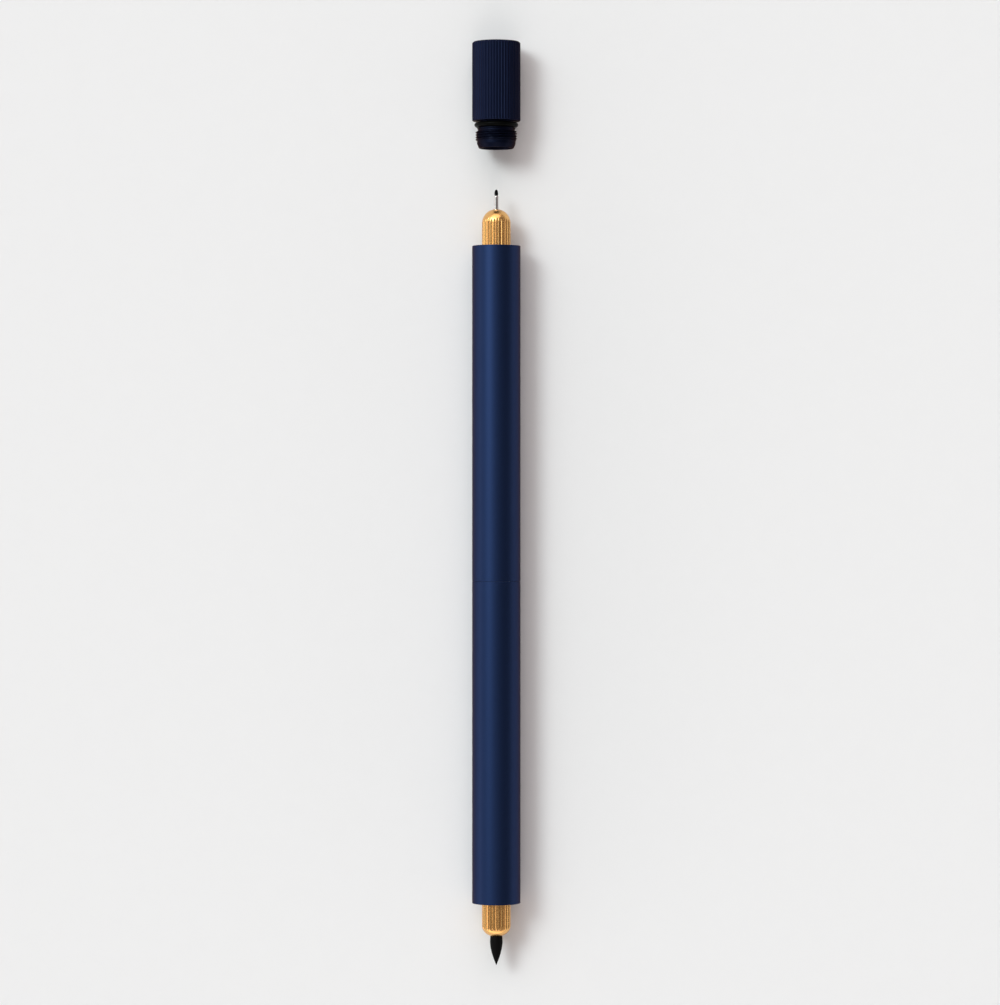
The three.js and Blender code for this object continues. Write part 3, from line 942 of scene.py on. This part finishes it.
@dataclass
class PenEnd:
    """One end of the pen: its barrel, the ring in it, the holder with its seal, and the nib."""

    end: End
    lathe: Lathe
    finishes: FinishSet
    barrel: Barrel
    holder: Holder
    nib: FinelinerNib | BrushNib
    seat_ring: SeatRing = field(default_factory=SeatRing)
    seal: Seal = Seal(outside=2.67, cord=0.6, height=-6.25)
    sleeve: Sleeve | None = None

    def place(self) -> Matrix:
        """The local frame of this end, with its origin at the barrel's rim."""
        low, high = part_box(f"{self.end.value}_barrel")
        return place_at(high.y) if self.end is End.FINELINER else place_at(low.y, turned=True)

    def build(self) -> list[Object]:
        """Makes the end's pieces.

        Returns:
            The finished pieces.
        """
        name, place, holder = self.end.value, self.place(), self.holder
        turn, looks = self.lathe.turn, self.finishes
        made = [
            finish_piece(
                turn(f"{name}_barrel_tube", self.barrel.outline(), place, looks.anodised, self.barrel.columns,
                     thread=self.barrel.thread),
                f"{name}_barrel", f"{name}_barrel"),
            finish_piece(
                turn(f"{name}_seat_ring_turned", self.seat_ring.outline(), place, looks.aluminium),
                f"{name}_barrel", f"{name}_seat_ring"),
            finish_piece(
                turn(f"{name}_fluted_holder", holder.outline(), place, looks.brass, holder.columns,
                     flutes=holder.flutes, thread=holder.thread),
                f"{name}_holder", f"{name}_holder"),
            finish_piece(
                turn(f"{name}_holder_seal", self.seal.outline(), place, looks.rubber, self.seal.columns),
                f"{name}_holder_o_ring", f"{name}_holder_o_ring"),
            finish_piece(
                turn(f"{name}_fibre_nib", self.nib.outline(), place, looks.fibre),
                f"{name}_holder", f"{name}_nib"),
        ]
        if self.sleeve:
            made.append(finish_piece(
                turn(f"{name}_steel_sleeve", self.sleeve.outline(), place, looks.steel),
                f"{name}_holder", f"{name}_sleeve"))
        self.dress_cad_nodes()
        return made

    def dress_cad_nodes(self) -> None:
        """Gives this end's hidden CAD pieces their materials."""
        looks = self.finishes
        inside = {
            "nib_carrier": looks.plastic,
            "cartridge": looks.plastic,
            "ink_core": looks.wadding,
            "cartridge_plug": looks.plastic,
        }
        for part, finish in inside.items():
            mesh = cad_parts[f"{self.end.value}_{part}"].data
            mesh.materials.clear()
            mesh.materials.append(finish)


@dataclass
class BarrelJoiner:
    """The threaded joiner between the barrels. Its local origin is at the seam, with Y up the pen.

    Its outline starts and ends on its upper face, at the radius start.
    """

    lathe: Lathe
    finishes: FinishSet
    start: float = 3.5
    glued_radius: float = 4.32
    glued_depth: float = 6.0
    land: float = 4.3
    land_top: float = 0.25
    groove: float = 3.37
    pilot: float = 4.0
    chamfer: float = 0.3
    top: float = 5.35
    bore: float = 2.8
    land_edge: float = 0.03
    glued_edge: float = 0.2
    thread: Thread = Thread(pitch=0.5, depth=0.3, core=4.0, low=1.35, high=4.35)
    seal: Seal = Seal(outside=4.3, cord=0.9, height=0.8)

    def outline(self) -> list[Point]:
        """The joiner's closed outline.

        Returns:
            Radius and height of each point.
        """
        corners = [
            (self.start, self.top, 0.0),
            (self.pilot - self.chamfer, self.top, FINE),
            (self.pilot, self.top - self.chamfer, FINE),
            (self.pilot, self.thread.low, 0.0),
            (self.groove, self.thread.low, FINE),
            (self.groove, self.land_top, FINE),
            (self.land, self.land_top, self.land_edge),
            (self.land, 0.0, 0.0),
            (self.glued_radius, 0.0, 0.0),
            (self.glued_radius, -self.glued_depth, self.glued_edge),
            (self.bore, -self.glued_depth, EDGE),
            (self.bore, self.top, EDGE),
            (self.start, self.top, 0.0),
        ]
        return self.thread.split(filleted(corners))

    def build(self) -> list[Object]:
        """Makes the joiner and its seal.

        Returns:
            The finished pieces.
        """
        place, turn = place_at(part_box("brush_barrel")[1].y), self.lathe.turn
        joiner = turn("joiner_turned", self.outline(), place, self.finishes.aluminium, thread=self.thread)
        seal = turn("joiner_seal", self.seal.outline(), place, self.finishes.rubber, self.seal.columns)
        return [
            finish_piece(joiner, "brush_barrel", "barrel_joiner"),
            finish_piece(seal, "joiner_o_ring", "joiner_o_ring"),
        ]


@dataclass
class Cap:
    """The fluted screw cap. Its local origin is at its shoulder, with Y towards its closed end.

    From the shoulder down come the seal's groove, the lip, the relief, the thread and the spigot's end,
    which tapers: each of its three points lies inside the spigot by its value of taper_in.
    """

    lathe: Lathe
    finishes: FinishSet
    radius: float = 5.0
    length: float = 16.4
    top_edge: float = 0.3
    shoulder_edge: float = 0.15
    groove: float = 3.5
    groove_end: float = -1.45
    lip: float = 3.95
    lip_end: float = -1.65
    relief: float = 3.8
    relief_start: float = -1.72
    spigot: float = 4.0
    run_out: float = 0.05
    taper_start: float = -4.75
    taper_end: float = -5.5
    taper_in: tuple[float, float, float] = (0.02, 0.35, 0.5)
    taper_edge: float = 0.2
    mouth: float = -5.65
    mouth_edge: float = 0.08
    mouth_bevel: tuple[float, float] = (0.15, 0.2)
    bore: float = 3.1
    bore_top: float = 15.1
    bore_edge: float = 0.4
    thread: Thread = Thread(pitch=0.5, depth=0.3, core=4.0, low=-4.15, high=-2.05)
    flutes: Flutes = Flutes(count=50, radius=5.0, depth=0.14, land=0.35)
    seal: Seal = Seal(outside=4.53, cord=1.0, height=-0.8)
    columns: int = 500
    longest: float = 1.6

    def outline(self) -> list[Point]:
        """The cap's outline, from the axis over the outside to the floor of its bore.

        Returns:
            Radius and height of each point.
        """
        taper, bevel = self.taper_in, self.mouth_bevel
        corners = [
            (0.0, self.length, 0.0),
            (self.radius - self.top_edge, self.length, EDGE),
            (self.radius, self.length - self.top_edge, EDGE),
            (self.radius, self.shoulder_edge, FINE),
            (self.radius - self.shoulder_edge, 0.0, FINE),
            (self.groove, 0.0, EDGE),
            (self.groove, self.groove_end, EDGE),
            (self.lip, self.groove_end, FINE),
            (self.lip, self.lip_end, FINE),
            (self.relief, self.relief_start, FINE),
            (self.relief, self.thread.high, 0.0),
            (self.spigot, self.thread.high - self.run_out, 0.0),
            (self.spigot, self.thread.low - self.run_out, 0.0),
            (self.spigot - taper[0], self.taper_start, self.taper_edge),
            (self.spigot - taper[1], self.taper_end, EDGE),
            (self.spigot - taper[2], self.mouth, self.mouth_edge),
            (self.bore + bevel[0], self.mouth, FINE),
            (self.bore, self.mouth + bevel[1], FINE),
            (self.bore, self.bore_top, self.bore_edge),
            (0.0, self.bore_top, 0.0),
        ]
        return refined(self.thread.split(filleted(corners)), 0.0, self.length, self.longest)

    def build(self) -> list[Object]:
        """Makes the cap and its seal.

        Returns:
            The finished pieces.
        """
        place, turn = place_at(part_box("cap_shell")[1].y - self.length * MM), self.lathe.turn
        shell = turn("cap_fluted", self.outline(), place, self.finishes.painted_shade_anodised_cap, self.columns,
                     flutes=self.flutes, thread=self.thread)
        seal = turn("cap_seal", self.seal.outline(), place, self.finishes.rubber, self.seal.columns)
        return [
            finish_piece(shell, "cap", "cap_shell"),
            finish_piece(seal, "cap_o_ring", "cap_o_ring"),
        ]


# Studio


@dataclass(frozen=True)
class Plaster(Finish):
    """A smooth matt painted board: nearly even, with faint trowel mottling a few millimetres wide."""

    mottle: float = 5.0

    def dress(self, tree: NodeTree, shader: Node, place: NodeSocket) -> None:
        """Adds the mottling, as Finish.dress says."""
        mottling = {"Vector": place, "Scale": 1 / (self.mottle * MM), "Detail": 4.0, "Roughness": 0.65}
        self.vary(tree, shader, add_node(tree, NOISE, mottling), darker=0.02, rougher=0.05, relief=0.03)


@dataclass(frozen=True)
class Ramp:
    """A change from one level to another, between two values of what it follows."""

    start: float
    stop: float
    low: float = 0.0
    high: float = 1.0

    def over(self, value: NodeSocket) -> dict[int, Any]:
        """The ramp as the inputs of a Map Range node that follows the value."""
        return {0: value, 1: self.start, 2: self.stop, 3: self.low, 4: self.high}


@dataclass
class Studio:
    """The pale floor, a soft window-like key from the upper left, the room's fill and the camera.

    The room is drawn by the view's direction. Its ceiling brightens towards both ends of the pen, past
    strip_slope times the distance to the side, and less at the brush end. Its walls are a bright band,
    dimmer behind the cap and on the right.
    """

    floor_side: float = 12.0
    floor_colour: str = "#E9EBEC"
    camera_place: tuple[float, float, float] = (0.000766, 0.000233, 0.805)
    lens: float = 138.4
    sensor: float = 36.0
    key_direction: tuple[float, float, float] = (-0.53, 0.38, 0.758)
    key_angle: float = 20.0
    key_strength: float = 0.95
    key_colour: tuple[float, float, float] = (0.95, 1.0, 1.0)
    glow_along: tuple[float, float, float] = (-0.567, 0.443, -0.695)
    glow_across: tuple[float, float, float] = (-0.616, -0.788, 0.0)
    glow_length: float = 0.34
    glow_width: float = 0.27
    glow: tuple[float, float, float] = (4.2, 4.6, 4.6)
    room: tuple[float, float, float] = (0.18, 0.16, 0.155)
    skylight: tuple[float, float, float] = (1.85, 1.68, 1.65)
    strip_slope: float = 1.2
    strip_ramp: Ramp = Ramp(0.05, 0.4)
    near_ramp: Ramp = Ramp(-0.2, 0.2, low=0.6)
    band: tuple[float, float, float] = (2.4, 2.2, 2.15)
    band_ramp: Ramp = Ramp(0.34, 0.2)
    end_ramp: Ramp = Ramp(0.7, -0.6, low=0.3, high=1.2)
    side_ramp: Ramp = Ramp(-0.95, 0.95, low=1.0, high=0.5)
    glow_ramp: Ramp = Ramp(0.94, 0.86)

    def build(self) -> None:
        """Makes the floor, the light and the camera."""
        self.lay_floor()
        self.light()
        self.fill()
        self.set_camera()
        bpy.context.scene.view_settings.view_transform = "Standard"

    def lay_floor(self) -> None:
        """Lays the floor under the pen."""
        half = self.floor_side / 2
        mesh = bpy.data.meshes.new("floor")
        corners = [(-half, -half, 0), (half, -half, 0), (half, half, 0), (-half, half, 0)]
        mesh.from_pydata(corners, [], [(0, 1, 2, 3)])
        mesh.materials.append(Plaster("painted_board", self.floor_colour, roughness=0.9).material())
        floor = bpy.data.objects.new("floor", mesh)
        bpy.context.scene.collection.objects.link(floor)

    def light(self) -> None:
        """Hangs the soft key."""
        lamp = bpy.data.lights.new("key", "SUN")
        lamp.angle = math.radians(self.key_angle)
        lamp.energy = self.key_strength
        lamp.color = self.key_colour
        key = bpy.data.objects.new("key", lamp)
        key.rotation_mode = "QUATERNION"
        key.rotation_quaternion = Vector(self.key_direction).to_track_quat("Z", "Y")
        bpy.context.scene.collection.objects.link(key)

    def fill(self) -> None:
        """Lights the room: a dim warm ceiling, a bright band of walls and the key's soft glow."""
        smooth = {"interpolation_type": "SMOOTHSTEP"}
        world = bpy.data.worlds.new("room")
        world.use_nodes = True
        bpy.context.scene.world = world
        tree = world.node_tree
        tree.nodes.clear()
        direction = add_node(tree, "ShaderNodeTexCoord").outputs["Generated"]
        axes = add_node(tree, "ShaderNodeSeparateXYZ", {0: direction}).outputs
        sideways = add_node(tree, MATH, {0: axes["X"]}, operation="ABSOLUTE")
        endways = add_node(tree, MATH, {0: axes["Y"]}, operation="ABSOLUTE")
        ahead_of = add_node(
            tree, MATH, {0: sideways, 1: -self.strip_slope, 2: endways}, operation="MULTIPLY_ADD"
        )
        nib_side = add_node(tree, MAP_RANGE, self.near_ramp.over(axes["Y"]))
        ends = {**self.strip_ramp.over(ahead_of), 4: nib_side}
        strip = add_node(tree, MAP_RANGE, ends, **smooth)
        dim, bright = (*self.room, 1.0), (*self.skylight, 1.0)
        ceiling = add_node(tree, "ShaderNodeMix", {0: strip, 6: dim, 7: bright}, data_type="RGBA").outputs[2]
        level, open_side, far_side = (
            add_node(tree, MAP_RANGE, ramp.over(axes[axis]), **smooth)
            for axis, ramp in (("Z", self.band_ramp), ("Y", self.end_ramp), ("X", self.side_ramp))
        )
        share = add_node(tree, MATH, {0: open_side, 1: far_side}, operation="MULTIPLY")
        walls = add_node(tree, VECTOR_MATH, {0: self.band, "Scale": share}, operation="SCALE")
        lined = add_node(tree, "ShaderNodeMix", {0: level, 6: ceiling, 7: walls}, data_type="RGBA")

        # The soft part of the key: an oval glow about its direction
        away = None
        for axis, size in ((self.glow_along, self.glow_length), (self.glow_across, self.glow_width)):
            scaled = tuple(c / size for c in axis)
            off = add_node(tree, VECTOR_MATH, {0: direction, 1: scaled}, operation="DOT_PRODUCT")
            offset = off.outputs["Value"]
            away = add_node(tree, MATH, {0: offset, 1: offset, 2: away or 0.0}, operation="MULTIPLY_ADD")
        fall = add_node(tree, MATH, {0: 0.0, 1: away}, operation="SUBTRACT")
        soft = add_node(tree, MATH, {0: fall}, operation="EXPONENT")
        facing = add_node(
            tree, VECTOR_MATH, {0: direction, 1: self.key_direction}, operation="DOT_PRODUCT"
        ).outputs["Value"]
        ahead = add_node(tree, MATH, {0: facing, 1: 0.0}, operation="GREATER_THAN")
        ends = {**self.glow_ramp.over(axes["Z"]), 4: ahead}
        edge = add_node(tree, MAP_RANGE, ends, **smooth)
        glow = add_node(tree, MATH, {0: soft, 1: edge}, operation="MULTIPLY")
        lit = add_node(tree, VECTOR_MATH, {0: self.glow, "Scale": glow}, operation="SCALE").outputs["Vector"]
        whole = add_node(tree, VECTOR_MATH, {0: lined.outputs[2], 1: lit}, operation="ADD")
        sky = add_node(tree, "ShaderNodeBackground", {"Color": whole})
        add_node(tree, "ShaderNodeOutputWorld", {"Surface": sky})

    def set_camera(self) -> None:
        """Sets the camera straight above the pen, with the pen upright in the frame."""
        camera = bpy.data.cameras.new("camera")
        camera.lens = self.lens
        camera.sensor_width = self.sensor
        camera.clip_start, camera.clip_end = 0.01, 10.0
        holder = bpy.data.objects.new("camera", camera)
        holder.location = self.camera_place
        bpy.context.scene.collection.objects.link(holder)
        bpy.context.scene.camera = holder


def main() -> None:
    """Builds the pen and its studio."""
    logging.basicConfig(level=logging.INFO, format="%(name)s: %(message)s")
    lathe, looks = Lathe(), FinishSet()
    groups = [
        Cap(lathe, looks),
        PenEnd(
            End.FINELINER, lathe, looks, Barrel(length=69.4),
            Holder(dome=2.9, hole=0.53, bore_top=6.35), FinelinerNib(), sleeve=Sleeve(),
        ),
        BarrelJoiner(lathe, looks),
        PenEnd(
            End.BRUSH, lathe, looks, Barrel(length=66.6),
            Holder(dome=2.25, hole=1.27, bore_top=5.7), BrushNib(),
        ),
    ]
    for group in groups:
        for piece in group.build():
            LOG.info("%s: %d faces", piece.name, len(piece.data.polygons))
    Studio().build()


if __name__ == "__main__":
    main()
